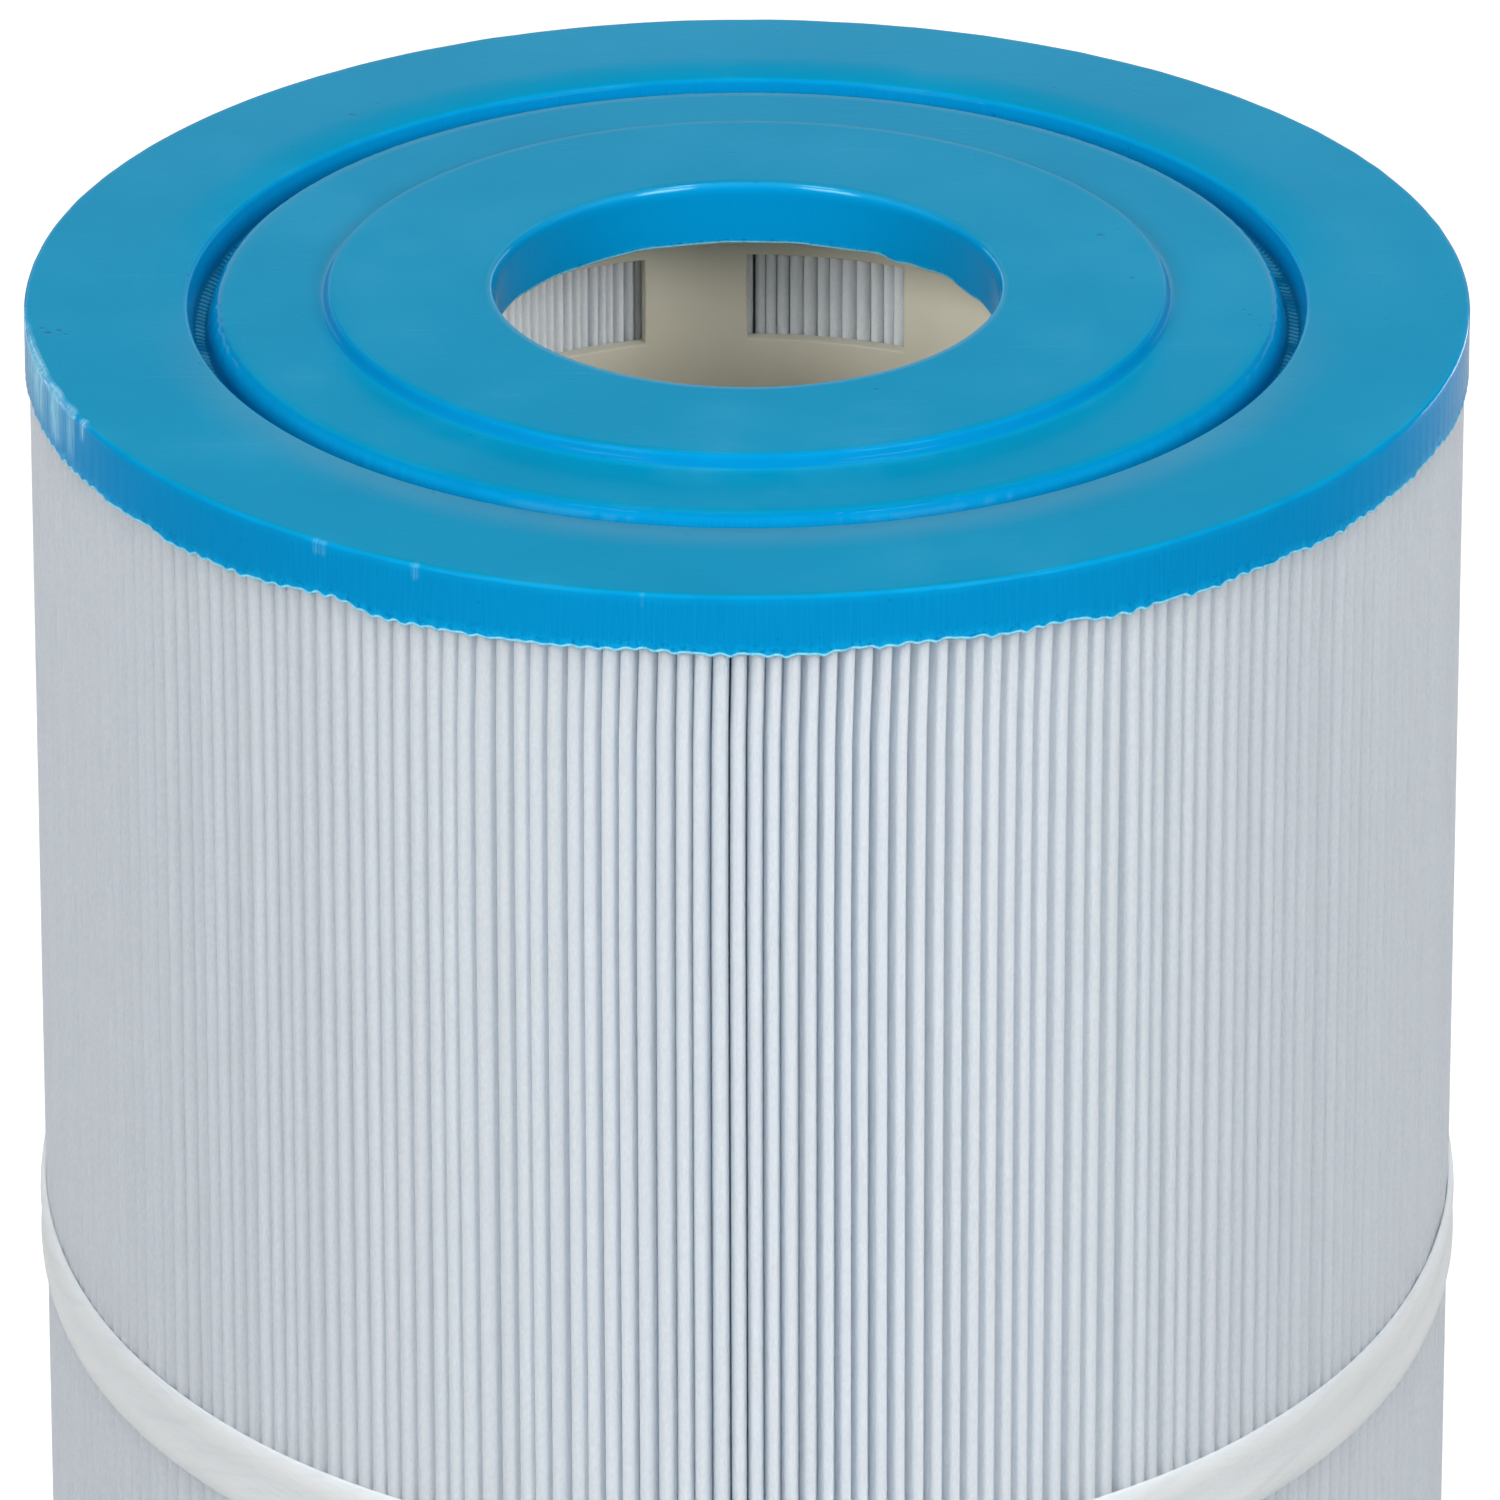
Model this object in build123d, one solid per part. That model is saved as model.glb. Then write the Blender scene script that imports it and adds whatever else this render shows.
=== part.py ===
from build123d import *
import math
import os

# Pool and spa filter cartridge: a pleated fabric pack round a windowed core tube,
# potted at both ends into cast polyurethane end caps and held round the outside by straps.
# Frame: origin at the bottom centre (face of the lower sealing ring), +Z up along the axis.
# Units: millimetres.

os.makedirs("parts", exist_ok=True)

# ---- driving dimensions ------------------------------------------------------------
LENGTH = 590.5            # over both sealing rings (23-1/4 in)
CAP_R = 113.5             # end cap outside radius (8-15/16 in across)
CAP_H = 10.0              # height of the cap's outer wall, down to its lip
CAP_UNDER = 8.4           # underside of the casting inside the core, below the cap's face
CAP_EDGE = 0.7            # round on the cap's outer top edge
BORE_R = 39.7             # 3-1/8 in open bore
BORE_ROUND = 0.8          # round at the bore's mouth
RING_R = 66.0             # raised sealing ring round the bore: edge of its flat
RING_FOOT_R = 67.6        # and its foot
RING_H = 2.2              # height of the sealing ring over the cap's face
GROOVE_R_OUT = 88.1       # ring groove left by the mould's support rib
GROOVE_R_IN = 83.8
GROOVE_LAND_R = 81.9      # where the rounded inner lip of the groove starts
GROOVE_FLOOR_OUT = 86.8
GROOVE_FLOOR_IN = 85.2
GROOVE_DEPTH = 5.0
FLOOR_WEB = 0.8           # casting left between the groove floor and the pleat ends

CORE_R_IN = 61.0          # core tube, 5 in outside
CORE_R_OUT = 63.5
WINDOW_COLS = 9
WINDOW_ROWS = 21
WINDOW_W = 26.3           # tangential width of a window
WINDOW_H = 14.8
WINDOW_FIRST = 19.4       # top edge of the first row, below the cap's face
WINDOW_AZ = 90.0 - 12.2   # azimuth of one window's centre, degrees from +X

MEDIA_R_IN = 63.8         # inner folds stand just off the core
MEDIA_R_OUT = 112.9       # tips of the pleats

SEAM_AZ = 118.0           # side seam of the pleat pack
SEAM_R_IN = 90.0
SEAM_R_OUT = 112.5
SEAM_T = 1.6

BAND_W = 13.6             # strap width (about 1/2 in)
BAND_T = 0.9
BAND_BELOW_FACE = 157.2   # centre of the first strap, below the cap's face
BAND_DIP = 12.0           # the first strap is drawn round a little out of level: lower in front, higher behind
LAP_ARC = 24.0            # welded overlap of the strap's ends, length along the arc
LAP_T = 0.8
LAP_AZ = {"upper_band": 128.0, "middle_band": 61.0, "lower_band": 139.0}

# ---- derived levels ----------------------------------------------------------------
FACE_TOP = LENGTH - RING_H                 # outer face of the upper cap
PACK_TOP = FACE_TOP - GROOVE_DEPTH - FLOOR_WEB
PACK_BOTTOM = LENGTH - PACK_TOP


def ring(r_in, r_out, z0, z1):
    """Plain ring between two radii and two levels."""
    h = z1 - z0
    outer = Pos(0, 0, z0 + h / 2) * Cylinder(r_out, h)
    inner = Pos(0, 0, z0 + h / 2) * Cylinder(r_in, h + 2)
    return outer - inner


def cast_cap():
    """Cast end cap with its face at z = 0 and the sealing ring above it."""
    c = CAP_EDGE
    b = BORE_ROUND
    q = math.sqrt(0.5)
    top = RING_H
    foot = RING_FOOT_R
    pack = -(GROOVE_DEPTH + FLOOR_WEB)
    with BuildPart() as cap:
        with BuildSketch(Plane.XZ):
            with BuildLine():
                # inner half: bore and sealing ring
                Line((BORE_R, -CAP_UNDER), (BORE_R, top - b))
                ThreePointArc(
                    (BORE_R, top - b),
                    (BORE_R + b * (1 - q), top - b * (1 - q)),
                    (BORE_R + b, top),
                )
                Line((BORE_R + b, top), (RING_R - 0.6, top))
                ThreePointArc(
                    (RING_R - 0.6, top),
                    (RING_R - 0.6 * (1 - q), top - 0.6 * (1 - q)),
                    (RING_R, top - 0.6),
                )
                ThreePointArc(
                    (RING_R, top - 0.6), (RING_R + 0.37, 0.44), (foot, 0)
                )
                # face, groove and rim
                Line((foot, 0), (GROOVE_LAND_R, 0))
                ThreePointArc(
                    (GROOVE_LAND_R, 0),
                    (GROOVE_LAND_R + 1.18, -0.42),
                    (GROOVE_R_IN, -1.6),
                )
                Line((GROOVE_R_IN, -1.6), (GROOVE_FLOOR_IN, -GROOVE_DEPTH))
                Line(
                    (GROOVE_FLOOR_IN, -GROOVE_DEPTH),
                    (GROOVE_FLOOR_OUT, -GROOVE_DEPTH),
                )
                Line((GROOVE_FLOOR_OUT, -GROOVE_DEPTH), (GROOVE_R_OUT - 0.3, -0.35))
                Line((GROOVE_R_OUT - 0.3, -0.35), (GROOVE_R_OUT + 0.1, 0))
                Line((GROOVE_R_OUT + 0.1, 0), (CAP_R - c, 0))
                ThreePointArc(
                    (CAP_R - c, 0), (CAP_R - c * (1 - q), -c * (1 - q)), (CAP_R, -c)
                )
                Line((CAP_R, -c), (CAP_R, -CAP_H))
                # pocket that the pack and the core are potted into
                Line((CAP_R, -CAP_H), (MEDIA_R_OUT, -CAP_H))
                Line((MEDIA_R_OUT, -CAP_H), (MEDIA_R_OUT, pack))
                Line((MEDIA_R_OUT, pack), (CORE_R_IN, pack))
                Line((CORE_R_IN, pack), (CORE_R_IN, -CAP_UNDER))
                Line((CORE_R_IN, -CAP_UNDER), (BORE_R, -CAP_UNDER))
            make_face()
        revolve(axis=Axis.Z, revolution_arc=360)
    return cap.part


def core_tube():
    """Moulded core tube with rows of rectangular windows."""
    tube = ring(CORE_R_IN, CORE_R_OUT, PACK_BOTTOM, PACK_TOP)
    first = FACE_TOP - WINDOW_FIRST - WINDOW_H / 2
    last = LENGTH - first
    pitch = (first - last) / (WINDOW_ROWS - 1)
    cutters = []
    depth = 12.0
    for row in range(WINDOW_ROWS):
        z = first - row * pitch
        for col in range(WINDOW_COLS):
            az = WINDOW_AZ + col * 360.0 / WINDOW_COLS
            cutters.append(
                Rot(0, 0, az)
                * Pos((CORE_R_IN + CORE_R_OUT) / 2, 0, z)
                * Box(depth, WINDOW_W, WINDOW_H)
            )
    return tube - cutters


def seam_blade(grow=0.0):
    """Radial strip along the whole pack, where the two end pleats are glued together."""
    length = SEAM_R_OUT - SEAM_R_IN
    return (
        Rot(0, 0, SEAM_AZ)
        * Pos(SEAM_R_IN + length / 2 + grow, 0, (PACK_TOP + PACK_BOTTOM) / 2)
        * Box(length + 2 * grow, SEAM_T, PACK_TOP - PACK_BOTTOM)
    )


def pleated_media():
    """Envelope of the pleat pack: inner folds to outer tips, with the slot of the side seam."""
    pack = ring(MEDIA_R_IN, MEDIA_R_OUT, PACK_BOTTOM, PACK_TOP)
    return pack - seam_blade()


def band(name, z, dip=0.0):
    """Strap round the pleat tips, its ends overlapped and welded. It may lie out of level by dip at front and back."""
    tall = BAND_W / 2 + abs(dip) * 1.1
    strap = ring(MEDIA_R_OUT, MEDIA_R_OUT + BAND_T, z - tall, z + tall)
    r0 = MEDIA_R_OUT + BAND_T
    half = math.degrees(LAP_ARC / 2 / r0)
    a0, a1 = LAP_AZ[name] - half, LAP_AZ[name] + half

    def p(r, a):
        return (r * math.cos(math.radians(a)), r * math.sin(math.radians(a)))

    rin, rout = MEDIA_R_OUT + 0.3, r0 + LAP_T
    mid = LAP_AZ[name]
    with BuildPart() as lap:
        with BuildSketch(Plane.XY.offset(z - tall)):
            with BuildLine():
                ThreePointArc(p(rout, a0), p(rout, mid), p(rout, a1))
                Line(p(rout, a1), p(rin, a1))
                ThreePointArc(p(rin, a1), p(rin, mid), p(rin, a0))
                Line(p(rin, a0), p(rout, a0))
            make_face()
        extrude(amount=2 * tall)
    if not dip:
        return strap + lap.part
    slope = math.atan(dip / (MEDIA_R_OUT + BAND_T))
    layer = Pos(0, 0, z) * Rot(math.degrees(slope), 0, 0) * Box(400, 400, BAND_W * math.cos(slope))
    return (strap + lap.part) & layer


cap = cast_cap()
parts = {
    "top_end_cap": Pos(0, 0, FACE_TOP) * cap,
    "bottom_end_cap": Pos(0, 0, RING_H) * Rot(180, 0, 0) * cap,
    "core_tube": core_tube(),
    "pleated_media": pleated_media(),
    "side_seam_bead": seam_blade(),
    "upper_band": band("upper_band", FACE_TOP - BAND_BELOW_FACE, BAND_DIP),
    "middle_band": band("middle_band", LENGTH / 2),
    "lower_band": band("lower_band", LENGTH - (FACE_TOP - BAND_BELOW_FACE)),
}

for name, shape in parts.items():
    export_step(shape, f"parts/{name}.step")
    print(name, len(shape.solids()), round(shape.volume), shape.bounding_box())
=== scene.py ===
import math

import bpy
import numpy as np
from mathutils import Matrix, Vector


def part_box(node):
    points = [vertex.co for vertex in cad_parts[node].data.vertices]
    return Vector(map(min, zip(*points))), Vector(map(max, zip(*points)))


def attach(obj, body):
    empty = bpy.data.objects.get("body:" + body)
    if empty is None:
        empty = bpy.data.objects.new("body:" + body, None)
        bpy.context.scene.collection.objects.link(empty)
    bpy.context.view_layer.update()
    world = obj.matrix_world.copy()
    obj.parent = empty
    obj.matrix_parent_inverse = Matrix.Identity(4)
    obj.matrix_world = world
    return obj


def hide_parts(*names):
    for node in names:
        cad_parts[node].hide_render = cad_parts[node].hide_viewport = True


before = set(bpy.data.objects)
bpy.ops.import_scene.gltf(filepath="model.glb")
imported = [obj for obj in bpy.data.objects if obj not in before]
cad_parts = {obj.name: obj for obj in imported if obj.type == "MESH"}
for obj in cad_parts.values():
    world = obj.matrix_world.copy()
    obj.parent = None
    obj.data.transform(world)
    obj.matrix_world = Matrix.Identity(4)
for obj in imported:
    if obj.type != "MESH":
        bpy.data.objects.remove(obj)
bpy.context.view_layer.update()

MM = 0.001
RNG = np.random.default_rng(20872)
TAU = 2 * math.pi

# ------------------------------------------------------------------ sizes (mm)
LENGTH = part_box("top_end_cap")[1].z / MM          # over both sealing rings
RING_H = 2.2
FACE = LENGTH - RING_H                            # outer face of the upper cap
CAP_R, BORE_R = 113.5, 39.7
CAP_H, CAP_UNDER = 10.0, 8.4
CORE_IN, CORE_OUT = 61.0, 63.5
PACK_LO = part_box("pleated_media")[0].z / MM
PACK_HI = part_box("pleated_media")[1].z / MM
TIP_R, FOLD_R = 112.75, 64.15
PLEATS = 248
PITCH = TAU / PLEATS
SEAM_AZ = math.radians(118.0)


# ------------------------------------------------------------------ helpers
def smooth_noise(n, knots, amp, rng, periodic=True):
    """Smooth random curve of n samples through `knots` random values."""
    k = rng.normal(0, 1, knots)
    if periodic:
        k = np.concatenate([k[-2:], k, k[:3]])
        x = np.arange(n) / n * knots + 2
    else:
        k = np.concatenate([k[:1], k, k[-2:]])
        x = np.linspace(0, knots - 1, n) + 1
    i = np.clip(x.astype(int), 1, len(k) - 3)
    t = x - i
    p0, p1, p2, p3 = k[i - 1], k[i], k[i + 1], k[i + 2]
    v = 0.5 * (2 * p1 + (p2 - p0) * t + (2 * p0 - 5 * p1 + 4 * p2 - p3) * t**2
               + (3 * p1 - p0 - 3 * p2 + p3) * t**3)
    return amp * v


def make_object(name, verts, quads, smooth=True):
    """Mesh object from an (n, 3) array in mm and an (m, 4) array of corners."""
    me = bpy.data.meshes.new(name)
    verts = np.asarray(verts, np.float64) * MM
    quads = np.asarray(quads, np.int32)
    me.vertices.add(len(verts))
    me.vertices.foreach_set("co", verts.astype(np.float32).ravel())
    me.loops.add(quads.size)
    me.loops.foreach_set("vertex_index", quads.ravel())
    me.polygons.add(len(quads))
    me.polygons.foreach_set("loop_start", np.arange(0, quads.size, 4, dtype=np.int32))
    me.polygons.foreach_set("loop_total", np.full(len(quads), 4, np.int32))
    me.update(calc_edges=True)
    me.validate()
    me.polygons.foreach_set("use_smooth", np.full(len(me.polygons), smooth))
    ob = bpy.data.objects.new(name, me)
    bpy.context.scene.collection.objects.link(ob)
    return ob


def grid_quads(rows, cols, wrap_rows, wrap_cols, flip=False):
    """Quads of a rows x cols grid of vertices, index = row * cols + col."""
    r = np.arange(rows if wrap_rows else rows - 1)
    c = np.arange(cols if wrap_cols else cols - 1)
    R, C = np.meshgrid(r, c, indexing="ij")
    R2, C2 = (R + 1) % rows, (C + 1) % cols
    q = np.stack([R * cols + C, R * cols + C2, R2 * cols + C2, R2 * cols + C], -1)
    q = q.reshape(-1, 4)
    return q[:, ::-1] if flip else q


def sharp_by_angle(ob, degrees):
    """Keeps smooth shading but splits it at edges sharper than this."""
    me = ob.data
    bm_angle = math.radians(degrees)
    ev = np.zeros(len(me.edges) * 2, np.int32)
    me.edges.foreach_get("vertices", ev)
    import bmesh
    bm = bmesh.new()
    bm.from_mesh(me)
    for e in bm.edges:
        if len(e.link_faces) == 2:
            e.smooth = e.calc_face_angle(0.0) < bm_angle
    bm.to_mesh(me)
    bm.free()


# ------------------------------------------------------------------ node helpers
class Mat:
    """Small helper round a node tree."""

    def __init__(self, name):
        self.m = bpy.data.materials.new(name)
        self.m.use_nodes = True
        self.nt = self.m.node_tree
        self.nt.nodes.clear()
        self.out = self.n("ShaderNodeOutputMaterial")
        self.bsdf = self.n("ShaderNodeBsdfPrincipled")
        self.link(self.bsdf.outputs[0], self.out.inputs[0])
        self.coord = self.n("ShaderNodeTexCoord").outputs["Object"]

    def n(self, kind, **kw):
        node = self.nt.nodes.new(kind)
        for k, v in kw.items():
            setattr(node, k, v)
        return node

    def link(self, a, b):
        self.nt.links.new(a, b)

    def set(self, node, **kw):
        for k, v in kw.items():
            s = node.inputs[k.replace("_", " ")]
            if isinstance(v, bpy.types.NodeSocket):
                self.link(v, s)
            else:
                s.default_value = v
        return node

    def math(self, op, a, b=None, c=None, clamp=False):
        node = self.n("ShaderNodeMath", operation=op, use_clamp=clamp)
        for i, v in enumerate((a, b, c)):
            if v is None:
                continue
            if isinstance(v, bpy.types.NodeSocket):
                self.link(v, node.inputs[i])
            else:
                node.inputs[i].default_value = v
        return node.outputs[0]

    def ramp(self, fac, stops, mode="LINEAR"):
        node = self.n("ShaderNodeValToRGB")
        cr = node.color_ramp
        cr.interpolation = mode
        while len(cr.elements) < len(stops):
            cr.elements.new(0.5)
        for e, (p, c) in zip(cr.elements, stops):
            e.position = p
            e.color = c if len(c) == 4 else (*c, 1)
        self.link(fac, node.inputs[0])
        return node.outputs[0]

    def range(self, v, a, b, c=0.0, d=1.0, kind="LINEAR"):
        node = self.n("ShaderNodeMapRange", interpolation_type=kind)
        self.link(v, node.inputs[0])
        for i, x in enumerate((a, b, c, d)):
            node.inputs[i + 1].default_value = x
        return node.outputs[0]

    def noise(self, vec, scale, detail=3.0, rough=0.55, dist=0.0):
        node = self.n("ShaderNodeTexNoise")
        self.link(vec, node.inputs["Vector"])
        node.inputs["Scale"].default_value = scale
        node.inputs["Detail"].default_value = detail
        node.inputs["Roughness"].default_value = rough
        node.inputs["Distortion"].default_value = dist
        return node.outputs[0]

    def voronoi(self, vec, scale, feature="F1", rand=1.0):
        node = self.n("ShaderNodeTexVoronoi", feature=feature)
        self.link(vec, node.inputs["Vector"])
        node.inputs["Scale"].default_value = scale
        node.inputs["Randomness"].default_value = rand
        return node

    def mapping(self, vec, scale=(1, 1, 1), rot=(0, 0, 0), loc=(0, 0, 0)):
        node = self.n("ShaderNodeMapping")
        self.link(vec, node.inputs["Vector"])
        node.inputs["Location"].default_value = loc
        node.inputs["Rotation"].default_value = rot
        node.inputs["Scale"].default_value = scale
        return node.outputs[0]

    def mix(self, fac, a, b, kind="MIX"):
        node = self.n("ShaderNodeMix", data_type="RGBA", blend_type=kind)
        for s, v in ((node.inputs[0], fac), (node.inputs[6], a), (node.inputs[7], b)):
            if isinstance(v, bpy.types.NodeSocket):
                self.link(v, s)
            else:
                s.default_value = v if not isinstance(v, tuple) or len(v) == 4 else (*v, 1)
        return node.outputs[2]

    def bump(self, height, strength, distance, normal=None):
        node = self.n("ShaderNodeBump")
        node.inputs["Strength"].default_value = strength
        node.inputs["Distance"].default_value = distance
        self.link(height, node.inputs["Height"])
        if normal is not None:
            self.link(normal, node.inputs["Normal"])
        return node.outputs[0]

    def cylinder(self):
        """Object coordinates as (r, angle, z, x, y), so that patterns follow the round."""
        sep = self.n("ShaderNodeSeparateXYZ")
        self.link(self.coord, sep.inputs[0])
        x, y, z = sep.outputs
        r = self.math("SQRT", self.math("ADD", self.math("MULTIPLY", x, x), self.math("MULTIPLY", y, y)))
        a = self.math("ARCTAN2", y, x)
        return r, a, z, x, y

    def combine(self, x, y, z):
        node = self.n("ShaderNodeCombineXYZ")
        for i, v in enumerate((x, y, z)):
            if isinstance(v, bpy.types.NodeSocket):
                self.link(v, node.inputs[i])
            else:
                node.inputs[i].default_value = v
        return node.outputs[0]


# ------------------------------------------------------------------ pleat layout
# Angles of the outer tips and inner folds, wandering a little along the height.
ROWS_Z = np.concatenate([
    [PACK_LO, PACK_LO + 6],
    np.linspace(PACK_LO + 20, PACK_HI - 20, 18),
    [PACK_HI - 6, PACK_HI],
])
NZ = len(ROWS_Z)


def field(n_i, n_z, len_i, len_z, amp, rng):
    """Random field over pleats (periodic) and height, with the given correlation lengths in samples."""
    f = rng.normal(0, 1, (n_z, n_i))
    F = np.fft.rfft(f, axis=1)
    k = np.fft.rfftfreq(n_i)
    F *= np.exp(-0.5 * (k * TAU * len_i) ** 2)[None]
    f = np.fft.irfft(F, n_i, axis=1)
    z = np.arange(n_z)
    w = np.exp(-0.5 * ((z[:, None] - z[None]) / len_z) ** 2)
    f = (w / w.sum(1, keepdims=True)) @ f
    return amp * f / f.std()


def pleat_angles():
    rng = np.random.default_rng(411)
    i = np.arange(PLEATS)
    base = SEAM_AZ + (i + 0.5) * PITCH
    drift = field(PLEATS, NZ, 8.0, 7.5, 0.55, rng)            # groups leaning together, mm
    single = field(PLEATS, NZ, 0.6, 6.0, 0.10, rng)           # each pleat on its own
    fixed = field(PLEATS, NZ, 0.5, 60.0, 0.20, rng)           # spacing that holds all the way
    off = drift + single + fixed
    hold = np.ones(NZ)
    for z0, reach in ((PACK_LO, 26.0), (PACK_HI, 26.0)):
        hold = np.minimum(hold, 0.35 + 0.65 * np.clip(np.abs(ROWS_Z - z0) / reach, 0, 1))
    off = off * hold[:, None]
    # keep the seam's gap clear and a little wider than the others
    d = (i + 0.5) * PITCH
    d = np.minimum(d, TAU - d) / PITCH
    off *= np.clip((d - 0.2) / 6.0, 0.05, 1)[None]
    push = np.where(i < PLEATS / 2, 1, -1) * 0.42 * np.exp(-((d - 0.5) / 1.6) ** 2)
    off += push[None]
    # never let neighbours touch: spacing of at least 2.0 mm between tips
    pitch_mm = PITCH * TIP_R
    for _ in range(30):
        gap = np.roll(off, -1, 1) - off + pitch_mm
        short = np.clip(2.05 - gap, 0, None) / 2
        if short.max() < 1e-3:
            break
        off = off - short + np.roll(short, 1, 1)
    return base[None] + off / TIP_R


TIP_A = pleat_angles()                                       # (NZ, PLEATS)
_rng = np.random.default_rng(77)
_mid = TIP_A + PITCH / 2 + (np.roll(TIP_A, -1, 1) - TIP_A - PITCH) / 2
_mid[:, -1] = TIP_A[:, -1] + (TIP_A[:, 0] + TAU - TIP_A[:, -1]) / 2
# inner folds bunch up in some places and open out in others, so the pleats lean there
_phi = np.degrees(np.mod(math.pi / 2 - _mid + math.pi, TAU) - math.pi)
_lean = (3.0 * np.sin(math.pi * (_phi - 12.2) / 30) * np.exp(-((_phi - 12.2) / 26) ** 2)
         - 1.2 * np.sin(math.pi * (_phi + 27.8) / 30) * np.exp(-((_phi + 27.8) / 20) ** 2))
FOLD_A = (_mid - np.radians(_lean)
          + (field(PLEATS, NZ, 0.6, 8.0, 0.06, _rng) + field(PLEATS, NZ, 5.0, 8.0, 0.35, _rng)) / FOLD_R)
TIP_DR = field(PLEATS, NZ, 0.5, 7.0, 0.12, _rng) + field(PLEATS, NZ, 10.0, 8.0, 0.10, _rng)
TIP_DR = np.clip(TIP_DR, -0.45, 0.12)
FOLD_DR = np.clip(field(PLEATS, NZ, 0.5, 8.0, 0.12, _rng), -0.25, 0.3)


def pleated_fabric():
    """The folded sheet as one surface, followed from tip to fold to tip all the way round.
    The two legs of a pleat spread until they nearly meet their neighbours, and draw in again at the core."""
    rng = np.random.default_rng(9)
    tip_r = TIP_R + TIP_DR
    fold_r = FOLD_R + FOLD_DR
    nxt = np.roll(TIP_A, -1, 1).copy()
    nxt[:, -1] += TAU
    nxt_r = np.roll(tip_r, -1, 1)
    # section of a tip: (depth below the tip, place across it), in mm
    tip = [(0.72, -0.82), (0.21, -0.56), (0.0, 0.0), (0.21, 0.56), (0.72, 0.82)]
    # legs: (depth below the tip, gap between neighbours there as a share of the tips' gap)
    legs = [(1.35, 0.66), (2.3, 0.38), (3.6, 0.13), (30.0, 0.20)]
    lean = field(PLEATS, NZ, 0.7, 6.0, 0.08, rng)
    shut = np.clip(1 + field(PLEATS, NZ, 0.5, 8.0, 0.10, rng), 0.6, 1.3)
    ang, rad = [], []
    # in front the pleats stand open, round the sides they are pressed closer
    phi = np.degrees(np.mod(math.pi / 2 + TIP_A + math.pi, TAU) - math.pi)
    pressed = 1 - np.exp(-((phi - 6) / 24) ** 2)
    plump = 0.74 + 0.42 * pressed
    shallow = 1 - 0.60 * pressed
    for d, t in tip:
        rad.append(tip_r - d * (0.5 + 0.5 * shallow))
        ang.append(TIP_A + t * plump / tip_r)
    edge = tip[-1][1] * plump
    gap0 = (nxt - TIP_A) * TIP_R - edge - np.roll(edge, -1, 1)  # width of the gap at the tips, mm
    mid_tip = (TIP_A + nxt) / 2

    def leg(d, share, side):
        deep = d * shallow if d < 10 else d
        r = tip_r - deep if side < 0 else nxt_r - deep
        f = d / (TIP_R - FOLD_R)
        mid = mid_tip * (1 - f) + FOLD_A * f
        agape = 1 + 0.38 * (1 - pressed) if d < 10 else 1.0
        half = np.clip(gap0 * agape * (share if d < 3 else share * shut), 0.07, None) / 2
        rad.append(r)
        ang.append(mid + (side * half + lean * min(1.0, d / 4)) / r)

    for d, share in legs:
        leg(d, share, -1)
    # the inner folds fill the room they have, so they stand side by side like flutes
    nxt_f, prv_f = np.roll(FOLD_A, -1, 1).copy(), np.roll(FOLD_A, 1, 1).copy()
    nxt_f[:, -1] += TAU
    prv_f[:, 0] -= TAU
    room = np.clip(np.minimum(nxt_f - FOLD_A, FOLD_A - prv_f) * fold_r / 1.637, 0.4, 1.4)
    for t, d in ((-0.76, 0.80), (-0.50, 0.16), (0.0, 0.0), (0.50, 0.16), (0.76, 0.80)):
        rad.append(fold_r + d)
        ang.append(FOLD_A + t * room / fold_r)
    for d, share in legs[::-1]:
        leg(d, share, 1)
    ang = np.stack(ang, -1).reshape(NZ, -1)
    rad = np.stack(rad, -1).reshape(NZ, -1)
    z = np.repeat(ROWS_Z[:, None], ang.shape[1], 1)
    v = np.stack([rad * np.cos(ang), rad * np.sin(ang), z], -1)
    step = np.linalg.norm(np.roll(v, -1, 1) - v, axis=-1)[:, :].sum(1)
    ob = make_object("pleated_fabric", v.reshape(-1, 3), grid_quads(NZ, ang.shape[1], False, True))
    return ob, float(np.median(step)) * MM


# ------------------------------------------------------------------ end caps
SEG = PLEATS * 6


def round_dist(th, deg):
    return np.mod(th - math.radians(deg) + math.pi, TAU) - math.pi


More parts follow.
